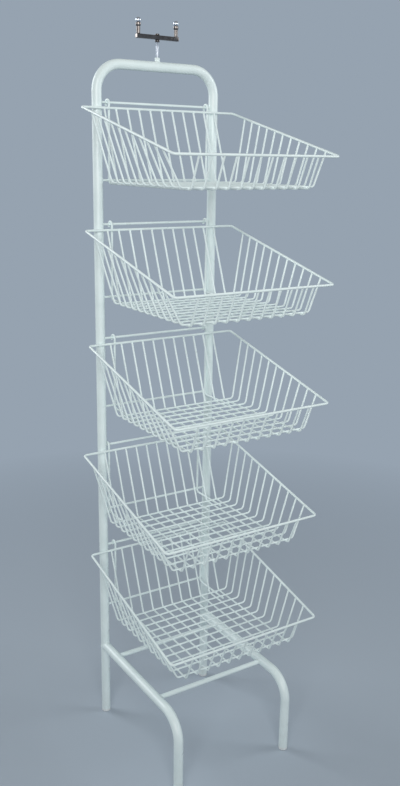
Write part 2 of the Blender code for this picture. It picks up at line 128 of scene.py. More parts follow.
class NodeBoard:
    """Lays out the nodes of one material round its Principled shader."""

    # A mix node's colour sockets go by number, as its other kinds share their names.
    MIX_FIRST = 6
    MIX_SECOND = 7
    MIX_RESULT = 2

    def __init__(self, name: str) -> None:
        """Make the material.

        Args:
            name: The material's name.
        """
        self.material = bpy.data.materials.new(name)
        self.material.use_nodes = True
        self.tree = self.material.node_tree
        self.shader = self.tree.nodes["Principled BSDF"]
        self.place = self.tree.nodes.new("ShaderNodeTexCoord").outputs["Object"]

    def set(self, **values: object) -> None:
        """Set constant values on the shader's sockets, named with _ for a space."""
        for name, value in values.items():
            self.shader.inputs[name.replace("_", " ")].default_value = value

    def link(self, source: Socket, target: Socket) -> None:
        """Join two sockets."""
        self.tree.links.new(source, target)

    def feed(self, name: str, value: Socket) -> None:
        """Give one of the shader's sockets a value."""
        self.link(value, self.shader.inputs[name])

    def noise(self, noise: Noise) -> Socket:
        """Noise in the object's own space.

        Args:
            noise: What the noise is like.

        Returns:
            Its value, about 0.5 in the mean.
        """
        node = self.tree.nodes.new("ShaderNodeTexNoise")
        node.inputs["Scale"].default_value = 1 / noise.feature
        node.inputs["Detail"].default_value = noise.octaves
        place = self.place
        if noise.stretch:
            mapping = self.tree.nodes.new("ShaderNodeMapping")
            mapping.inputs["Scale"].default_value = noise.stretch
            self.link(place, mapping.inputs["Vector"])
            place = mapping.outputs["Vector"]
        self.link(place, node.inputs["Vector"])
        return node.outputs["Fac"]

    def patches(self, noise: Noise, wanted: Pair = (0, 1)) -> Socket:
        """Noise with the used span of its values mapped to another."""
        return self.span(self.noise(noise), noise.span, wanted)

    def height(self) -> Socket:
        """How high a point lies.

        Returns:
            The height above the piece's own origin.
        """
        node = self.tree.nodes.new("ShaderNodeSeparateXYZ")
        self.link(self.place, node.inputs["Vector"])
        return node.outputs["Z"]

    def span(self, value: Socket, given: Pair, wanted: Pair) -> Socket:
        """Map one span of values to another, held at its ends.

        Args:
            value: The socket to map.
            given: The span that comes in.
            wanted: The span that goes out.

        Returns:
            The mapped value.
        """
        node = self.tree.nodes.new("ShaderNodeMapRange")
        for name, number in zip(("From Min", "From Max", "To Min", "To Max"), (*given, *wanted)):
            node.inputs[name].default_value = number
        self.link(value, node.inputs["Value"])
        return node.outputs["Result"]

    def maths(self, operation: str, first: Socket, second: Socket) -> Socket:
        """Join two values.

        Args:
            operation: The maths node's operation.
            first: The first value.
            second: The second value.

        Returns:
            The result.
        """
        node = self.tree.nodes.new("ShaderNodeMath")
        node.operation = operation
        self.link(first, node.inputs[0])
        self.link(second, node.inputs[1])
        return node.outputs["Value"]

    def mix(self, share: Socket, first: object, second: Colour) -> Socket:
        """A colour between two.

        Args:
            share: How much of the second there is.
            first: A colour or a colour socket.
            second: A colour.

        Returns:
            The mixed colour.
        """
        node = self.tree.nodes.new("ShaderNodeMix")
        node.data_type = "RGBA"
        self.link(share, node.inputs["Factor"])
        if isinstance(first, tuple):
            node.inputs[self.MIX_FIRST].default_value = (*first, 1)
        else:
            self.link(first, node.inputs[self.MIX_FIRST])
        node.inputs[self.MIX_SECOND].default_value = (*second, 1)
        return node.outputs[self.MIX_RESULT]

    def bump(self, *layers: tuple[Noise, float]) -> None:
        """Add bumps to the shader's normal.

        Args:
            layers: A noise and the depth of its relief in metres, for each layer.
        """
        normal = None
        for noise, depth in layers:
            node = self.tree.nodes.new("ShaderNodeBump")
            node.inputs["Distance"].default_value = depth
            self.link(self.noise(noise), node.inputs["Height"])
            if normal:
                self.link(normal, node.inputs["Normal"])
            normal = node.outputs["Normal"]
        self.feed("Normal", normal)


@dataclass(frozen=True)
class PowderCoat:
    """Baked white powder coat: orange peel, a little uneven in tone and gloss."""

    name: str
    dust: float
    colour: Colour = (0.765, 0.86, 0.855)
    thin_colour: Colour = (0.70, 0.80, 0.80)
    thin_patches: Noise = Noise(0.05, 3, (0.35, 0.75))
    dust_colour: Colour = (0.60, 0.62, 0.60)
    dust_specks: Noise = Noise(0.012, 4, (0.35, 0.7))
    dust_top: float = 0.10
    gloss: Noise = Noise(0.02, 3, (0.3, 0.7))
    roughness: Pair = (0.26, 0.40)
    peel: Noise = Noise(0.0014, 1)
    wave: Noise = Noise(0.006, 1)
    peel_depth: float = 0.00006

    SLOT = "white_coat"

    def material(self) -> Material:
        """Make the material.

        Returns:
            The coat, with dust towards the floor.
        """
        board = NodeBoard(self.name)
        tone = board.mix(board.patches(self.thin_patches), self.colour, self.thin_colour)
        low = board.span(board.height(), (0, self.dust_top), (self.dust, 0))
        dust = board.maths("MULTIPLY", low, board.patches(self.dust_specks))
        board.feed("Base Color", board.mix(dust, tone, self.dust_colour))
        board.feed("Roughness", board.patches(self.gloss, self.roughness))
        board.bump((self.peel, self.peel_depth), (self.wave, self.peel_depth))
        return board.material


@dataclass(frozen=True)
class BrightMetal:
    """Plated metal with fine polishing lines round the turned pieces."""

    name: str
    colour: Colour
    dull_colour: Colour
    roughness: Pair
    haze: Noise = Noise(0.009, 3, (0.4, 0.75))
    gloss: Noise = Noise(0.004, 4, (0.35, 0.75))
    lines: Noise = Noise(0.0006, 2, stretch=(0.08, 0.08, 1))
    line_depth: float = 0.000004

    SLOT = "chrome"

    def material(self) -> Material:
        """Make the material.

        Returns:
            The plated metal.
        """
        board = NodeBoard(self.name)
        board.feed("Base Color", board.mix(board.patches(self.haze), self.colour, self.dull_colour))
        board.feed("Roughness", board.patches(self.gloss, self.roughness))
        board.bump((self.lines, self.line_depth))
        board.set(Metallic=1)
        return board.material


@dataclass(frozen=True)
class MouldedPlastic:
    """Pale moulded plastic, spark-textured, scuffed where it stands on the floor."""

    name: str
    colour: Colour = (0.74, 0.78, 0.78)
    stain: Noise = Noise(0.01, 2, (0.35, 0.7))
    stain_share: Pair = (0, 0.25)
    scuff_colour: Colour = (0.46, 0.47, 0.47)
    scuffs: Noise = Noise(0.0025, 4, (0.35, 0.6))
    scuff_share: Pair = (0.9, 0)
    scuff_rise: Pair = (0.0004, 0.0022)
    gloss: Noise = Noise(0.003, 3, (0.3, 0.7))
    roughness: Pair = (0.42, 0.62)
    grain: Noise = Noise(0.0005, 2)
    grain_depth: float = 0.00004

    SLOT = "foot_plastic"

    def material(self) -> Material:
        """Make the material.

        Returns:
            The plastic.
        """
        board = NodeBoard(self.name)
        low = board.span(board.height(), self.scuff_rise, self.scuff_share)
        scuff = board.maths("MULTIPLY", low, board.patches(self.scuffs))
        tone = board.mix(board.patches(self.stain, self.stain_share), self.colour, self.scuff_colour)
        board.feed("Base Color", board.mix(scuff, tone, self.scuff_colour))
        board.feed("Roughness", board.patches(self.gloss, self.roughness))
        board.bump((self.grain, self.grain_depth))
        return board.material


class Finish(Enum):
    """The finishes of the pieces."""

    FRAME_COAT = PowderCoat("frame_powder_coat", dust=0.35)
    BASKET_COAT = PowderCoat("basket_powder_coat", dust=0.08)
    PLASTIC = MouldedPlastic("foot_plastic")
    # Painted reflection: this chrome's colour is darkened to paint the dark surroundings it reflects; real
    # chrome is far paler, as on the knobs.
    CHROME_PAINTED_DARK = BrightMetal("chrome_painted_dark_reflection", (0.20, 0.18, 0.17), (0.13, 0.11, 0.10), (0.06, 0.18))
    POLISHED = BrightMetal("polished_chrome", (0.70, 0.73, 0.78), (0.60, 0.63, 0.68), (0.16, 0.28))
    ZINC = BrightMetal("zinc_plating", (0.60, 0.63, 0.68), (0.50, 0.53, 0.58), (0.45, 0.60))


@dataclass(frozen=True)
class StudioPaint:
    """Matt pale paint on the floor, which fades into an evenly lit backdrop."""

    colour: Colour = (0.42, 0.48, 0.545)
    backdrop: Colour = (0.305, 0.365, 0.435)
    fade: Pair = (0.6, 2.2)
    roughness: float = 0.9
    shine: float = 0.1

    def material(self) -> Material:
        """Make the material.

        Returns:
            The paint, which far from the stand shines evenly to the eye and in mirrors.
        """
        board = NodeBoard("studio_paint")
        board.set(Base_Color=(*self.colour, 1), Roughness=self.roughness, Specular_IOR_Level=self.shine)
        nodes = board.tree.nodes
        away = nodes.new("ShaderNodeVectorMath")
        away.operation = "LENGTH"
        board.link(board.place, away.inputs[0])
        rays = nodes.new("ShaderNodeLightPath").outputs
        seen = board.maths("MAXIMUM", rays["Is Camera Ray"], rays["Is Glossy Ray"])
        far = board.span(away.outputs["Value"], self.fade, (0, 1))
        glow = nodes.new("ShaderNodeEmission")
        glow.inputs["Color"].default_value = (*self.backdrop, 1)
        blend = nodes.new("ShaderNodeMixShader")
        board.link(board.maths("MULTIPLY", far, seen), blend.inputs[0])
        board.link(board.shader.outputs[0], blend.inputs[1])
        board.link(glow.outputs[0], blend.inputs[2])
        board.link(blend.outputs[0], nodes["Material Output"].inputs["Surface"])
        return board.material


@dataclass(frozen=True)
class Bar:
    """A straight stretch of round bar that others are welded to."""

    point: Vector
    direction: Vector
    radius: float

    def meet(self, start: Vector, heading: Vector) -> Vector:
        """Where a line first meets the bar's skin.

        Args:
            start: A point on the line.
            heading: The line's unit direction, towards the bar.

        Returns:
            The point on the skin, or the nearest to it where the line passes by.
        """
        across = start - self.point
        across -= across.dot(self.direction) * self.direction
        going = heading - heading.dot(self.direction) * self.direction
        middle = across.dot(going)
        room = middle**2 - going.length_squared * (across.length_squared - self.radius**2)
        return start - heading * (middle + math.sqrt(max(room, 0.0))) / going.length_squared


@dataclass(frozen=True)
class BarEnd:
    """One end of a swept bar."""

    kind: End
    onto: Optional[Bar] = None


CUT_END = BarEnd(End.CUT)
OPEN_END = BarEnd(End.OPEN)


def rounded(corners: Sequence[Vector], radius: float, steps: int, closed: bool = False) -> Ring:
    """A path with an arc at each corner.

    Args:
        corners: The corners in order.
        radius: Radius of the arcs.
        steps: Steps in each arc.
        closed: True if the last corner joins the first.

    Returns:
        The points of the path.
    """
    path: Ring = []
    count = len(corners)
    for i, corner in enumerate(corners):
        if not closed and i in (0, count - 1):
            path.append(corner.copy())
            continue
        back = (corners[i - 1] - corner).normalized()
        ahead = (corners[(i + 1) % count] - corner).normalized()
        half = back.angle(ahead) / 2
        middle = corner + (back + ahead).normalized() * radius / math.sin(half)
        start = corner + back * radius / math.tan(half) - middle
        end = corner + ahead * radius / math.tan(half) - middle
        path += [middle + radius * start.slerp(end, k / steps) for k in range(steps + 1)]
    return path


@dataclass
class Sweep:
    """A round bar, wire or tube swept along a flat path.

    A welded end hugs the bar that it meets and flares into a fillet. A cut end has its
    edge softened by the coat. A bore makes it a tube.
    """

    path: Ring
    normal: Vector
    radius: float
    sides: int
    start: BarEnd = CUT_END
    finish: BarEnd = CUT_END
    closed: bool = False
    bore: float = 0.0
    fillet: float = 0.0
    soft_edge: float = 0.0006
    radii: Optional[Sequence[float]] = None

    EDGE_STEPS = 2
    FILLET_STEPS = 4
    RIPPLES = 5
    RIPPLE_PHASE = 1
    RIPPLE_DEPTH = 0.10

    def section(self, point: Vector, across: Vector, radius: float, ripple: float = 0.0) -> Ring:
        """One ring of points.

        Args:
            point: The middle of the ring.
            across: The direction square to the path and its normal.
            radius: The ring's radius.
            ripple: Height of the weld's waves round the ring.

        Returns:
            The ring.
        """
        ring = []
        for k in range(self.sides):
            turn = FULL_TURN * k / self.sides
            reach = radius + ripple * math.sin(self.RIPPLES * turn + self.RIPPLE_PHASE)
            ring.append(point + reach * (math.cos(turn) * self.normal + math.sin(turn) * across))
        return ring

    def end_rings(
        self, end: BarEnd, point: Vector, heading: Vector, across: Vector, radius: float
    ) -> list[Ring]:
        """The rings that close one end, from the end inwards.

        Args:
            end: How the bar ends.
            point: The path's last point.
            heading: The unit direction out of the bar.
            across: The ring's second direction.
            radius: The bar's radius, or its bore's.

        Returns:
            The rings, the outermost first.
        """
        if end.kind is End.WELDED:
            fillet = self.fillet if radius == self.radius else 0.0
            rings = []
            for k in range(self.FILLET_STEPS + 1):
                share = k / self.FILLET_STEPS
                flare = fillet * (1 - math.sqrt(1 - (1 - share) ** 2))
                ripple = self.RIPPLE_DEPTH * flare
                ring = self.section(point, across, radius + flare, ripple)
                back = heading * (fillet * share)
                rings.append([end.onto.meet(spot, heading) - back for spot in ring])
            return rings if fillet else rings[:1]
        if end.kind is End.CUT and radius == self.radius:
            rings = []
            for k in range(self.EDGE_STEPS + 1):
                turn = QUARTER_TURN * k / self.EDGE_STEPS
                back = heading * self.soft_edge * (1 - math.cos(turn))
                inset = self.soft_edge * (1 - math.sin(turn))
                rings.append(self.section(point - back, across, radius - inset))
            return rings
        return [self.section(point, across, radius)]

    def rings(self, radius: float) -> list[Ring]:
        """All the rings of the bar's skin or of its bore.

        Args:
            radius: The radius, where the sweep has no list of its own.

        Returns:
            The rings from the start to the finish.
        """
        count = len(self.path)
        rings: list[Ring] = []
        for i, point in enumerate(self.path):
            if self.closed or 0 < i < count - 1:
                arriving = (point - self.path[i - 1]).normalized()
                leaving = (self.path[(i + 1) % count] - point).normalized()
                tangent = (arriving + leaving).normalized()
                across = tangent.cross(self.normal) / tangent.dot(arriving)
                rings.append(self.section(point, across, self.radii[i] if self.radii else radius))
            elif i == 0:
                heading = (point - self.path[1]).normalized()
                across = (-heading).cross(self.normal)
                rings += self.end_rings(self.start, point, heading, across, radius)
            else:
                heading = (point - self.path[-2]).normalized()
                across = heading.cross(self.normal)
                rings += reversed(self.end_rings(self.finish, point, heading, across, radius))
        return rings

    def made(self, bm: Optional[Making] = None) -> Making:
        """Make the swept form.

        Args:
            bm: A mesh in the making to add it to, or None for a new one.

        Returns:
            The mesh in the making.
        """
        bm = bmesh.new() if bm is None else bm
        skins = []
        for radius in (self.radius, self.bore) if self.bore else (self.radius,):
            rings = [[bm.verts.new(spot) for spot in ring] for ring in self.rings(radius)]
            pairs = list(zip(rings, rings[1:]))
            if self.closed:
                pairs.append((rings[-1], rings[0]))
            for first, second in pairs:
                self.join(bm, first, second)
            skins.append(rings)
        for place in () if self.closed else (0, -1):
            if self.bore:
                self.join(bm, skins[0][place], skins[1][place])
            else:
                bm.faces.new(skins[0][place])
        return bm

    @staticmethod
    def join(bm: Making, first: Points, second: Points) -> None:
        """Add the faces between two rings."""
        for k in range(len(first)):
            bm.faces.new((first[k - 1], first[k], second[k], second[k - 1]))


def turned(profile: Profile, sides: int) -> Making:
    """A form turned about Z.

    Args:
        profile: Radius and height pairs, from the axis along the section.
        sides: Facets round the axis.

    Returns:
        The mesh in the making.
    """
    bm = bmesh.new()
    points = [bm.verts.new((radius, 0, height)) for radius, height in profile]
    edges = [bm.edges.new(pair) for pair in zip(points, points[1:])]
    bmesh.ops.spin(
        bm, geom=points + edges, axis=Z_AXIS, cent=(0, 0, 0), steps=sides, angle=FULL_TURN, use_merge=True
    )
    bmesh.ops.remove_doubles(bm, verts=bm.verts, dist=MERGE_DISTANCE)
    return bm


def arc(centre: Pair, radius: float, start: float, end: float, steps: int) -> Profile:
    """Profile points on an arc.

    Args:
        centre: Radius and height of its centre.
        radius: The arc's radius.
        start: First angle in degrees, from the outward direction towards up.
        end: Last angle in degrees.
        steps: Steps between them.

    Returns:
        The points.
    """
    points = []
    for k in range(steps + 1):
        turn = math.radians(start + (end - start) * k / steps)
        points.append((centre[0] + radius * math.cos(turn), centre[1] + radius * math.sin(turn)))
    return points


def weld_bead(bm: Making, place: Vector, size: Triple) -> None:
    """Add the squashed drop of metal where two wires are welded.

    Args:
        bm: The mesh to add to.
        place: Its middle.
        size: Half its length along X, Y and Z.
    """
    matrix = Matrix.Translation(place) @ Matrix.Diagonal((*size, 1))
    bmesh.ops.create_icosphere(bm, subdivisions=BEAD_ROUNDS, radius=1, matrix=matrix)


class Workshop:
    """Turns meshes in the making into pieces that ride on the CAD's bodies."""

    SHARP_ANGLE = math.radians(48)

    def __init__(self) -> None:
        """Make the material of each finish."""
        self.materials = {finish: finish.value.material() for finish in Finish}
        self.slots = {self.materials[finish].name: finish.value.SLOT for finish in Finish}

    def mesh(self, bm: Making, name: str, finish: Finish) -> Mesh:
        """Finish a mesh: outward faces, smooth shading and its material.

        Args:
            bm: The mesh in the making, which is freed.
            name: The mesh's name.
            finish: Its finish.

        Returns:
            The mesh.
        """
        bmesh.ops.recalc_face_normals(bm, faces=bm.faces)
        mesh = bpy.data.meshes.new(name)
        bm.to_mesh(mesh)
        bm.free()
        mesh.shade_smooth()
        mesh.set_sharp_from_angle(angle=self.SHARP_ANGLE)
        mesh.materials.append(self.materials[finish])
        return mesh

    def piece(self, name: str, mesh: Mesh, body: str, node: str, place: Vector = Vector()) -> None:
        """Place a piece, let it ride on its body and stand for its CAD node.

        Args:
            name: The piece's name.
            mesh: Its mesh, which copies may share.
            body: The CAD body that it rides on.
            node: The CAD node that it stands for.
            place: Where its origin goes.
        """
        item = add_item(name, mesh)
        item.location = place
        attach(item, body)
        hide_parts(node)
        LOG.info("%s rides on %s in place of %s", name, body, node)

    def frame_piece(self, name: str, bm: Making, finish: Finish, node: str, place: Vector = Vector()) -> None:
        """Finish a mesh in the making and place it on the frame."""
        self.piece(name, self.mesh(bm, name, finish), FRAME_BODY, node, place)

    def cut(self, mesh: Mesh, tools: Sequence[Mesh]) -> Mesh:
        """Cut tools out of a mesh.

        Args:
            mesh: The mesh to cut.
            tools: Closed meshes to take away.

        Returns:
            The cut mesh.
        """
        base = add_item("blank", mesh)
        cutters = [add_item("cutter", tool) for tool in tools]
        for cutter in cutters:
            modifier = base.modifiers.new("cut", "BOOLEAN")
            modifier.operation = "DIFFERENCE"
            modifier.solver = "EXACT"
            modifier.object = cutter
        graph = bpy.context.evaluated_depsgraph_get()
        result = bpy.data.meshes.new_from_object(base.evaluated_get(graph))
        for item in (base, *cutters):
            bpy.data.objects.remove(item)
        result.shade_smooth()
        result.set_sharp_from_angle(angle=self.SHARP_ANGLE)
        return result


@dataclass
class StandFrame:
    """The welded frame: the hoop, two front legs and the rods between them."""

    shop: Workshop
    tube_r: float = 0.011
    tube_wall: float = 0.0015
    bend_r: float = 0.057
    base_rod_r: float = 0.00575
    bar_r: float = 0.00275
    fillet: float = 0.0022
    bar_fillet: float = 0.0015
    sides: int = 40
    rod_sides: int = 20
    bend_steps: int = 20
    tiers: int = 5

    def __post_init__(self) -> None:
        """Read the tubes' places from the CAD nodes."""
        self.bore_r = self.tube_r - self.tube_wall
        low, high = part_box("rear_hoop")
        self.upright_x = high.x - self.tube_r
        self.upright_y = (low.y + high.y) / 2
        self.hoop_z = high.z - self.tube_r
        self.tube_end = low.z
        low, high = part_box("left_front_leg")
        self.side_z = high.z - self.tube_r
        self.leg_y = low.y + self.tube_r

    def build(self) -> None:
        """Build the frame's pieces."""
        self.build_hoop()
        self.build_legs()
        for name in ("rear_base_bar", "front_base_bar"):
            self.build_rod(name, self.base_rod_r, self.fillet, Y_AXIS, self.side_z)
        for tier in range(1, self.tiers + 1):
            for name in (f"hanging_bar_{tier}", f"rest_bar_{tier}"):
                self.build_rod(name, self.bar_r, self.bar_fillet, Z_AXIS)

    def build_hoop(self) -> None:
        """The tall inverted U of tube."""
        half, end, top = self.upright_x, self.tube_end, self.hoop_z
        places = ((-half, end), (-half, top), (half, top), (half, end))
        corners = [Vector((x, self.upright_y, z)) for x, z in places]
        path = rounded(corners, self.bend_r, self.bend_steps)
        tube = Sweep(path, Y_AXIS, self.tube_r, self.sides, OPEN_END, OPEN_END, bore=self.bore_r)
        self.shop.frame_piece("hoop_tube", tube.made(), Finish.FRAME_COAT, "rear_hoop")

    def build_legs(self) -> None:
        """The two bent front legs, each welded to the front of an upright."""
        for side, x in (("left", -self.upright_x), ("right", self.upright_x)):
            weld = BarEnd(End.WELDED, Bar(Vector((x, self.upright_y, 0)), Z_AXIS, self.tube_r))
            corners = side_view(
                x, (self.upright_y, self.side_z), (self.leg_y, self.side_z), (self.leg_y, self.tube_end)
            )
            path = rounded(corners, self.bend_r, self.bend_steps)
            tube = Sweep(
                path, X_AXIS, self.tube_r, self.sides, weld, OPEN_END, bore=self.bore_r, fillet=self.fillet
            )
            self.shop.frame_piece(f"{side}_leg_tube", tube.made(), Finish.FRAME_COAT, f"{side}_front_leg")

    def build_rod(self, node: str, radius: float, fillet: float, along: Vector, tube_z: float = 0.0) -> None:
        """A rod welded between two tubes.

        Args:
            node: The CAD node that it stands for.
            radius: The rod's radius.
            fillet: Size of its welds.
            along: The direction of the tubes.
            tube_z: Height of the tubes, where they lie level.
        """
        middle = centre_of(node)
        ends, path = [], []
        for x in (-self.upright_x, self.upright_x):
            path.append(Vector((x, middle.y, middle.z)))
            ends.append(BarEnd(End.WELDED, Bar(Vector((x, self.upright_y, tube_z)), along, self.tube_r)))
        rod = Sweep(path, Y_AXIS, radius, self.rod_sides, *ends, fillet=fillet)
        self.shop.frame_piece(node.replace("bar", "rod"), rod.made(), Finish.FRAME_COAT, node)


@dataclass
class FootPlugs:
    """Moulded plugs in the four tube ends."""

    shop: Workshop
    lip_r: float = 0.011
    lip: float = 0.006
    lip_round: float = 0.0008
    lip_steps: int = 5
    shoulder_round: float = 0.0005
    shoulder_steps: int = 3
    spigot_r: float = 0.0092
    core_r: float = 0.0078
    spigot: float = 0.018
    spigot_chamfer: float = 0.001
    ribs: int = 3
    first_rib: float = 0.0021
    rib: float = 0.0016
    rib_slope: float = 0.00048
    rib_taper: float = 0.0003
    sides: int = 40

    def profile(self) -> Profile:
        """The plug's half section.

        Returns:
            Radius and height pairs from the sole's middle to the top's.
        """
        shoulder, chamfer = self.shoulder_round, self.spigot_chamfer
        points = [(0.0, 0.0)]
        points += arc((self.lip_r - self.lip_round, self.lip_round), self.lip_round, -90, 0, self.lip_steps)
        points += arc((self.lip_r - shoulder, self.lip - shoulder), shoulder, 0, 90, self.shoulder_steps)
        points.append((self.core_r, self.lip))
        for k in range(self.ribs):
            foot = self.lip + self.first_rib + k * self.spigot / self.ribs
            points += [
                (self.core_r, foot),
                (self.spigot_r, foot + self.rib_slope),
                (self.spigot_r - self.rib_taper, foot + self.rib),
                (self.core_r, foot + self.rib + self.rib_slope),
            ]
        top = self.lip + self.spigot
        points += [(self.core_r, top - chamfer), (self.core_r - chamfer, top), (0.0, top)]
        return points

    def build(self) -> None:
        """Build the four plugs."""
        mesh = self.shop.mesh(turned(self.profile(), self.sides), "foot_plug", Finish.PLASTIC)
        for place in ("left_rear", "right_rear", "left_front", "right_front"):
            node = f"{place}_foot"
            self.shop.piece(f"{place}_plug", mesh, FRAME_BODY, node, foot_of(node))


@dataclass
class WireBasket:
    """One of the five alike baskets: a rim, a folded mat and two hangers.

    Its sizes are measured from the middle of the hanging bar.
    """

    shop: Workshop
    rim_r: float = 0.00275
    mat_r: float = 0.0021
    hanger_r: float = 0.0025
    rim_width: float = 0.390
    rim_back: float = -0.01405
    rim_depth: float = 0.384
    rim_back_z: float = -0.012
    rim_front_z: float = -0.106
    rim_corner_r: float = 0.007
    floor_width: float = 0.318
    floor_depth: float = 0.297
    floor_back: float = -0.07405
    floor_z: float = -0.170
    fold_r: float = 0.009
    wires: int = 11
    length_edge: float = 0.018
    cross_floor_edge: float = 0.0085
    cross_rim_back_edge: float = 0.0495
    cross_rim_front_edge: float = 0.0425
    weld_depth: float = 0.0008
    wire_fillet: float = 0.0009
    bead: float = 0.0030
    bead_height: float = 0.0015
    flash: float = 0.0004
    flash_step: float = 0.0008
    flash_rings: int = 2
    hook_seat: float = 0.00555
    hook_slack: float = 0.0008
    hook_tip: float = 0.007
    hanger_gap: float = 0.0003
    hanger_bend_r: float = 0.008
    hanger_foot_z: float = -0.1704
    hanger_foot_past: float = 0.007
    foot_welds: int = 2
    rim_sides: int = 16
    mat_sides: int = 10
    hanger_sides: int = 14
    bend_steps: int = 6
    tiers: int = 5

    def rim_z(self, y: float) -> float:
        """Height of the rim's axis at this depth."""
        share = (self.rim_back - y) / self.rim_depth
        return self.rim_back_z + share * (self.rim_front_z - self.rim_back_z)

    def rim_corners(self) -> Ring:
        """Where the axes of the rim's four sides meet.

        Returns:
            The corners, from the left back one to the right.
        """
        half, front = self.rim_width / 2, self.rim_back - self.rim_depth
        places = ((-half, self.rim_back), (half, self.rim_back), (half, front), (-half, front))
        return [Vector((x, y, self.rim_z(y))) for x, y in places]

    def cross_y(self, wire: int) -> float:
        """Where a cross wire lies on the floor, counted from the back."""
        pitch = (self.floor_depth - 2 * self.cross_floor_edge) / (self.wires - 1)
        return self.floor_back - self.cross_floor_edge - wire * pitch

    def rim(self) -> Making:
        """The heavy wire round the mouth, with a little flash where its ends are butt welded.

        Returns:
            The rim's mesh in the making.
        """
        corners = self.rim_corners()
        normal = (corners[1] - corners[0]).cross(corners[1] - corners[2]).normalized()
        path = rounded(corners, self.rim_corner_r, self.bend_steps, closed=True)
        radii = [self.rim_r] * len(path)
        after_corner = self.bend_steps + 1
        for k in range(self.flash_rings, -self.flash_rings - 1, -1):
            swell = self.flash * (1 - abs(k) / self.flash_rings)
            path.insert(after_corner, Vector((k * self.flash_step, self.rim_back, self.rim_back_z)))
            radii.insert(after_corner, self.rim_r + swell)
        return Sweep(path, normal, self.rim_r, self.rim_sides, closed=True, radii=radii).made()

    def mat(self) -> Making:
        """The welded mat: wires from back to front, others across them, beads where they meet.

        Returns:
            The mat's mesh in the making.
        """
        back_left, back_right, _, front_left = self.rim_corners()
        slope = (front_left - back_left).normalized()
        end_rails = [Bar(point, X_AXIS, self.rim_r) for point in (back_left, front_left)]
        side_rails = [Bar(point, slope, self.rim_r) for point in (back_left, back_right)]
        column_pitch = (self.floor_width - 2 * self.length_edge) / (self.wires - 1)
        columns = [(i - (self.wires - 1) / 2) * column_pitch for i in range(self.wires)]
        rows = [self.cross_y(i) for i in range(self.wires)]
        wires = []
        floor_ends = ((self.floor_back, self.floor_z), (self.floor_back - self.floor_depth, self.floor_z))
        for x in columns:
            wires.append((side_view(x, back_left.yz, *floor_ends, front_left.yz), X_AXIS, end_rails))
        cross_z = self.floor_z + 2 * self.mat_r - self.weld_depth
        rim_span = self.rim_depth - self.cross_rim_back_edge - self.cross_rim_front_edge
        half_floor, half_rim = self.floor_width / 2, self.rim_width / 2
        for i, floor_y in enumerate(rows):
            rim_y = self.rim_back - self.cross_rim_back_edge - i * rim_span / (self.wires - 1)
            rim_z = self.rim_z(rim_y)
            corners = [
                Vector((-half_rim, rim_y, rim_z)),
                Vector((-half_floor, floor_y, cross_z)),
                Vector((half_floor, floor_y, cross_z)),
                Vector((half_rim, rim_y, rim_z)),
            ]
            wires.append((corners, X_AXIS.cross(corners[0] - corners[1]).normalized(), side_rails))
        bm = bmesh.new()
        for corners, normal, rails in wires:
            path = rounded(corners, self.fold_r, self.bend_steps)
            ends = [BarEnd(End.WELDED, rail) for rail in rails]
            Sweep(path, normal, self.mat_r, self.mat_sides, *ends, fillet=self.wire_fillet).made(bm)
        for x in columns:
            for y in rows:
                middle = Vector((x, y, (self.floor_z + cross_z) / 2))
                weld_bead(bm, middle, (self.bead, self.bead, self.bead_height))
        return bm

    def hanger(self) -> Making:
        """A hook over the hanging bar, a leg down to the rest bar and a foot under the floor.

        Returns:
            The hanger's mesh in the making.
        """
        leg_y = self.rim_back + self.rim_r + self.hanger_r + self.hanger_gap
        tip_y = self.hook_seat + self.hook_slack
        hook_r = (tip_y - leg_y) / 2
        top = hook_r - math.sqrt(self.hook_slack * (-leg_y - self.hook_seat))
        behind_rim = (leg_y, self.rim_back_z)
        bow = side_view(0, (tip_y, -self.hook_tip), (tip_y, top), (leg_y, top), behind_rim)
        hook = rounded(bow, hook_r, self.bend_steps)
        # The bow's two arcs share their middle point, which is needed once.
        del hook[self.bend_steps + 1]
        toe_y = self.cross_y(1) - self.hanger_foot_past
        leg = side_view(0, behind_rim, (-self.hook_seat, self.hanger_foot_z), (toe_y, self.hanger_foot_z))
        foot = rounded(leg, self.hanger_bend_r, self.bend_steps)
        bm = Sweep(hook[:-1] + foot, X_AXIS, self.hanger_r, self.hanger_sides).made()
        rim_weld = Vector((0, self.rim_back + self.rim_r, self.rim_back_z))
        weld_bead(bm, rim_weld, (self.bead, self.bead_height, self.bead))
        for wire in range(self.foot_welds):
            spot = Vector((0, self.cross_y(wire), self.hanger_foot_z + self.hanger_r))
            weld_bead(bm, spot, (self.bead, self.bead, self.bead_height))
        return bm

    def build(self) -> None:
        """Build the five baskets, which share their meshes."""
        rim = self.shop.mesh(self.rim(), "basket_rim", Finish.BASKET_COAT)
        mat = self.shop.mesh(self.mat(), "basket_mat", Finish.BASKET_COAT)
        hanger = self.shop.mesh(self.hanger(), "basket_hanger", Finish.BASKET_COAT)
        for tier in range(1, self.tiers + 1):
            body = f"basket_{tier}"
            bar = centre_of(f"hanging_bar_{tier}")
            bar.x = centre_of(f"{body}_rim").x
            self.shop.piece(f"{body}_rim_wire", rim, body, f"{body}_rim", bar)
            self.shop.piece(f"{body}_wire_mat", mat, body, f"{body}_mat", bar)
            for side in ("left", "right"):
                node = f"{body}_{side}_hanger"
                place = Vector((centre_of(node).x, bar.y, bar.z))
                self.shop.piece(f"{body}_{side}_hook", hanger, body, node, place)


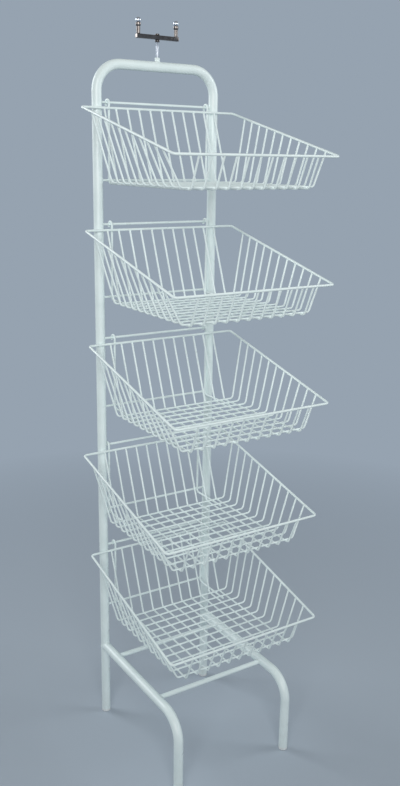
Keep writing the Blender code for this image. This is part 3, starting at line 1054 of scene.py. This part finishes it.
@dataclass
class SignHolder:
    """The socket on the hoop, the stem with its nuts, and the fork that turns on it."""

    shop: Workshop
    stand: StandFrame
    socket_r: float = 0.00575
    socket_fillet: float = 0.0020
    socket_edge: float = 0.0010
    stem_r: float = 0.003
    thread_pitch: float = 0.0010
    thread_depth: float = 0.00045
    thread_length: float = 0.008
    thread_steps: int = 4
    room: float = 0.0003
    nut_sides: int = 6
    nut_facets: int = 8
    nut_flats: float = 0.010
    nut_chamfer: float = 0.0009
    chamfer_slope: float = math.radians(30)
    chamfer_steps: int = 2
    cap_r: float = 0.005
    cap_edge: float = 0.0006
    dome_steps: int = 8
    bar_edge: float = 0.0011
    bar_edge_steps: int = 4
    post_r: float = 0.00425
    post_edge: float = 0.0005
    post_edge_steps: int = 3
    collar_r: float = 0.00575
    collar: float = 0.004
    collar_steps: int = 6
    collar_edge: float = 0.0006
    collar_edge_steps: int = 4
    tenon_r: float = 0.002
    knob_r: float = 0.006
    knob_seat: float = math.radians(15)
    knob_steps: int = 16
    knob_spigot: float = 0.005
    sides: int = 40

    ROUND_EDGE = 0.5

    def __post_init__(self) -> None:
        """Read the stem's axis from the CAD."""
        self.axis = centre_of("sign_lock_nut")
        self.hole_r = self.stem_r + self.room

    def build(self) -> None:
        """Build the holder's pieces."""
        self.build_socket()
        self.build_stem()
        self.build_lock_nut()
        self.build_cap_nut()
        self.build_bar()
        self.build_posts()

    def on_axis(self, height: float) -> Vector:
        """The point of the stem's axis at this height."""
        return Vector((self.axis.x, self.axis.y, height))

    def build_socket(self) -> None:
        """The boss welded on top of the hoop."""
        top = self.on_axis(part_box("sign_socket")[1].z)
        foot = self.on_axis(self.stand.hoop_z)
        weld = BarEnd(End.WELDED, Bar(foot, X_AXIS, self.stand.tube_r))
        socket = Sweep(
            [top, foot], Y_AXIS, self.socket_r, self.sides, CUT_END, weld,
            bore=self.hole_r, fillet=self.socket_fillet, soft_edge=self.socket_edge,
        )
        self.shop.frame_piece("stem_socket", socket.made(), Finish.FRAME_COAT, "sign_socket")

    def build_stem(self) -> None:
        """The stem: plain below, threaded from a little under the lock nut."""
        low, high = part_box("sign_stem")
        thread_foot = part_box("sign_lock_nut")[0].z - self.thread_length
        rise = self.thread_pitch / self.thread_steps
        rows = int((high.z - thread_foot - self.thread_depth) / rise)
        plain = {low.z: self.room, low.z + self.room: 0.0, thread_foot: 0.0}
        bm = bmesh.new()
        rings = []
        for height in (*plain, *(thread_foot + k * rise for k in range(1, rows + 2))):
            ring = []
            for k in range(self.sides):
                turn = FULL_TURN * k / self.sides
                phase = (height / self.thread_pitch - turn / FULL_TURN) % 1
                groove = self.thread_depth * (1 - abs(2 * phase - 1))
                radius = self.stem_r - plain.get(height, groove)
                ring.append(bm.verts.new((radius * math.cos(turn), radius * math.sin(turn), height)))
            if rings:
                Sweep.join(bm, rings[-1], ring)
            rings.append(ring)
        bm.faces.new(rings[0])
        bm.faces.new(rings[-1])
        self.shop.frame_piece("stem", bm, Finish.ZINC, "sign_stem", self.on_axis(0))

    def build_lock_nut(self) -> None:
        """The hexagon nut under the bar, its corners turned down at both ends."""
        low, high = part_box("sign_lock_nut")
        half_side = math.pi / self.nut_sides
        flat = self.nut_flats / 2
        corner = flat / math.cos(half_side)
        drop = self.nut_chamfer * math.tan(self.chamfer_slope)
        lower = [(0, self.hole_r)]
        for k in range(self.chamfer_steps + 1):
            share = k / self.chamfer_steps
            lower.append((share * drop, corner - self.nut_chamfer * (1 - share)))
        upper = [(high.z - low.z - height, limit) for height, limit in reversed(lower)]
        count = self.nut_sides * self.nut_facets
        bm = bmesh.new()
        rings = []
        for height, limit in lower + upper:
            ring = []
            for k in range(count):
                turn = FULL_TURN * k / count
                radius = min(limit, flat / math.cos(turn % (2 * half_side) - half_side))
                ring.append(bm.verts.new((radius * math.cos(turn), radius * math.sin(turn), height)))
            if rings:
                Sweep.join(bm, rings[-1], ring)
            rings.append(ring)
        Sweep.join(bm, rings[-1], rings[0])
        self.shop.frame_piece("lock_nut", bm, Finish.CHROME_PAINTED_DARK, "sign_lock_nut", self.on_axis(low.z))

    def build_cap_nut(self) -> None:
        """The domed nut over the bar."""
        low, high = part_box("sign_cap_nut")
        tall = high.z - low.z
        rim_top = tall / 2
        bore_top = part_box("sign_stem")[1].z + self.room - low.z
        profile = [(0, bore_top), (self.hole_r, bore_top), (self.hole_r, 0)]
        profile += [(self.cap_r - self.cap_edge, 0), (self.cap_r, self.cap_edge), (self.cap_r, rim_top)]
        for k in range(1, self.dome_steps):
            turn = QUARTER_TURN * k / self.dome_steps
            profile.append((self.cap_r * math.cos(turn), rim_top + (tall - rim_top) * math.sin(turn)))
        profile.append((0, tall))
        nut = turned(profile, self.sides)
        self.shop.frame_piece("cap_nut", nut, Finish.CHROME_PAINTED_DARK, "sign_cap_nut", self.on_axis(low.z))

    def build_bar(self) -> None:
        """The square bar, bored for the stem and for the two posts."""
        low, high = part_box("sign_bar")
        size = high - low
        middle = (low + high) / 2
        bm = bmesh.new()
        bmesh.ops.create_cube(bm, size=1, matrix=Matrix.Diagonal((*size, 1)))
        bmesh.ops.bevel(
            bm, geom=bm.edges[:], affect="EDGES", profile=self.ROUND_EDGE,
            offset=self.bar_edge, segments=self.bar_edge_steps,
        )
        blank = self.shop.mesh(bm, "fork_bar", Finish.CHROME_PAINTED_DARK)
        tools = []
        posts = [centre_of(f"sign_{side}_post").x - middle.x for side in ("left", "right")]
        for x, radius in ((0, self.stem_r), (posts[0], self.tenon_r), (posts[1], self.tenon_r)):
            path = [Vector((x, 0, -size.z)), Vector((x, 0, size.z))]
            tool = Sweep(path, Y_AXIS, radius + self.room, self.sides, OPEN_END, OPEN_END)
            tools.append(self.shop.mesh(tool.made(), "bore", Finish.CHROME_PAINTED_DARK))
        self.shop.piece("fork_bar", self.shop.cut(blank, tools), FORK_BODY, "sign_bar", middle)

    def post(self) -> Making:
        """A turned post: a tenon in the bar below, a collar bored for the knob above.

        Returns:
            The post's mesh in the making, with its foot at the origin.
        """
        low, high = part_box("sign_left_post")
        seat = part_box("sign_bar")[1].z + self.room - low.z
        top = high.z - low.z
        waist = top - 2 * self.collar
        bore = self.tenon_r + self.room
        bore_foot = top - self.knob_spigot - self.room
        foot_edge = (self.post_r - self.post_edge, seat + self.post_edge)
        top_edge = (self.collar_r - self.collar_edge, top - self.collar_edge)
        profile = [(0, 0), (self.tenon_r, 0), (self.tenon_r, seat)]
        profile += arc(foot_edge, self.post_edge, -90, 0, self.post_edge_steps)
        for k in range(self.collar_steps + 1):
            share = k / self.collar_steps
            ease = share * share * (3 - 2 * share)
            profile.append((self.post_r + (self.collar_r - self.post_r) * ease, waist + self.collar * share))
        profile += arc(top_edge, self.collar_edge, 0, 90, self.collar_edge_steps)
        profile += [(bore, top), (bore, bore_foot), (0, bore_foot)]
        return turned(profile, self.sides)

    def knob(self) -> Making:
        """A ball knob with the spigot that goes into its post.

        Returns:
            The knob's mesh in the making, with its seat at the origin.
        """
        seat = math.asin(self.tenon_r / self.knob_r) + self.knob_seat
        profile = [(0, -self.knob_spigot), (self.tenon_r, -self.knob_spigot), (self.tenon_r, 0)]
        for k in range(self.knob_steps):
            turn = seat + (math.pi - seat) * k / self.knob_steps
            profile.append((self.knob_r * math.sin(turn), self.knob_r * (math.cos(seat) - math.cos(turn))))
        profile.append((0, self.knob_r * (math.cos(seat) + 1)))
        return turned(profile, self.sides)

    def build_posts(self) -> None:
        """The two posts with their ball knobs."""
        post = self.shop.mesh(self.post(), "fork_post", Finish.CHROME_PAINTED_DARK)
        knob = self.shop.mesh(self.knob(), "ball_knob", Finish.POLISHED)
        for side in ("left", "right"):
            node = f"sign_{side}_post"
            spot = foot_of(node)
            self.shop.piece(f"{side}_fork_post", post, FORK_BODY, node, spot)
            spot.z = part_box(node)[1].z + self.room
            self.shop.piece(f"{side}_ball_knob", knob, FORK_BODY, f"sign_{side}_knob", spot)


@dataclass(frozen=True)
class Lamp:
    """A square soft lamp."""

    name: str
    place: Triple
    size: float
    power: float
    colour: Colour = (0.95, 0.98, 1.0)
    spread: float = math.radians(90)

    def hang(self, aim: Triple) -> None:
        """Hang the lamp so that it faces a point.

        Args:
            aim: The point.
        """
        lamp = bpy.data.lights.new(self.name, "AREA")
        lamp.size = self.size
        lamp.energy = self.power
        lamp.color = self.colour
        lamp.spread = self.spread
        item = add_item(self.name, lamp)
        item.location = self.place
        item.rotation_mode = "QUATERNION"
        item.rotation_quaternion = (Vector(aim) - item.location).to_track_quat("-Z", "Y")


@dataclass
class Studio:
    """A pale floor that curves up into a round wall, and soft lamps."""

    flat_r: float = 1.75
    floor_r: float = 7.0
    wall_bend: float = 2.0
    wall_top: float = 7.0
    bend_steps: int = 12
    sides: int = 96
    floor_gap: float = 0.0004
    sky_colour: Colour = (0.93, 0.97, 1.0)
    sky_strength: float = 0.30
    aim: Triple = (0.0, 0.0, 1.25)

    LAMPS = (
        Lamp("key_lamp", (-1.6, -2.4, 1.95), size=1.8, power=20.6, colour=(1.0, 0.99, 0.97)),
        Lamp("fill_lamp", (2.7, -1.4, 2.2), size=1.6, power=11.5),
        Lamp("back_lamp", (-1.8, 2.7, 2.4), size=1.8, power=17.0),
    )

    def build(self) -> None:
        """Build the floor, the lamps and the sky."""
        profile = [(0, 0), (self.flat_r, 0)]
        profile += arc((self.floor_r, self.wall_bend), self.wall_bend, -90, 0, self.bend_steps)
        profile.append((self.floor_r + self.wall_bend, self.wall_top))
        bm = turned(profile, self.sides)
        mesh = bpy.data.meshes.new("studio_floor")
        bm.to_mesh(mesh)
        bm.free()
        mesh.shade_smooth()
        mesh.materials.append(StudioPaint().material())
        floor = add_item("studio_floor", mesh)
        floor.location.z = -self.floor_gap
        for lamp in self.LAMPS:
            lamp.hang(self.aim)
        world = bpy.data.worlds.new("studio_sky")
        world.use_nodes = True
        sky = world.node_tree.nodes["Background"]
        sky.inputs["Color"].default_value = (*self.sky_colour, 1)
        sky.inputs["Strength"].default_value = self.sky_strength
        bpy.context.scene.world = world


@dataclass
class PhotoCamera:
    """A camera at the photograph's place and angle."""

    place: Triple = (-1.0112, -1.5737, 1.3970)
    yaw: float = math.radians(-32.934)
    pitch: float = math.radians(15.308)
    roll: float = math.radians(0.935)
    focal_px: float = 861.16
    centre_px: Pair = (2.81, -0.71)
    sensor: float = 36.0
    clip: Pair = (0.05, 60)

    def build(self) -> None:
        """Make the scene's camera."""
        long_side = max(PHOTO_SIZE)
        data = bpy.data.cameras.new("photo_camera")
        data.sensor_width = self.sensor
        data.lens = self.focal_px / long_side * self.sensor
        data.shift_x = -self.centre_px[0] / long_side
        data.shift_y = self.centre_px[1] / long_side
        data.clip_start, data.clip_end = self.clip
        camera = add_item("photo_camera", data)
        camera.matrix_world = (
            Matrix.Translation(self.place)
            @ Matrix.Rotation(self.yaw, 4, "Z")
            @ Matrix.Rotation(QUARTER_TURN - self.pitch, 4, "X")
            @ Matrix.Rotation(self.roll, 4, "Z")
        )
        bpy.context.scene.camera = camera


def main() -> None:
    """Build the scene."""
    logging.basicConfig(level=logging.INFO, format="%(name)s: %(message)s")
    bpy.context.scene.view_settings.view_transform = "Standard"
    shop = Workshop()
    stand = StandFrame(shop)
    stand.build()
    FootPlugs(shop).build()
    WireBasket(shop).build()
    SignHolder(shop, stand).build()
    Studio().build()
    PhotoCamera().build()


if __name__ == "__main__":
    main()
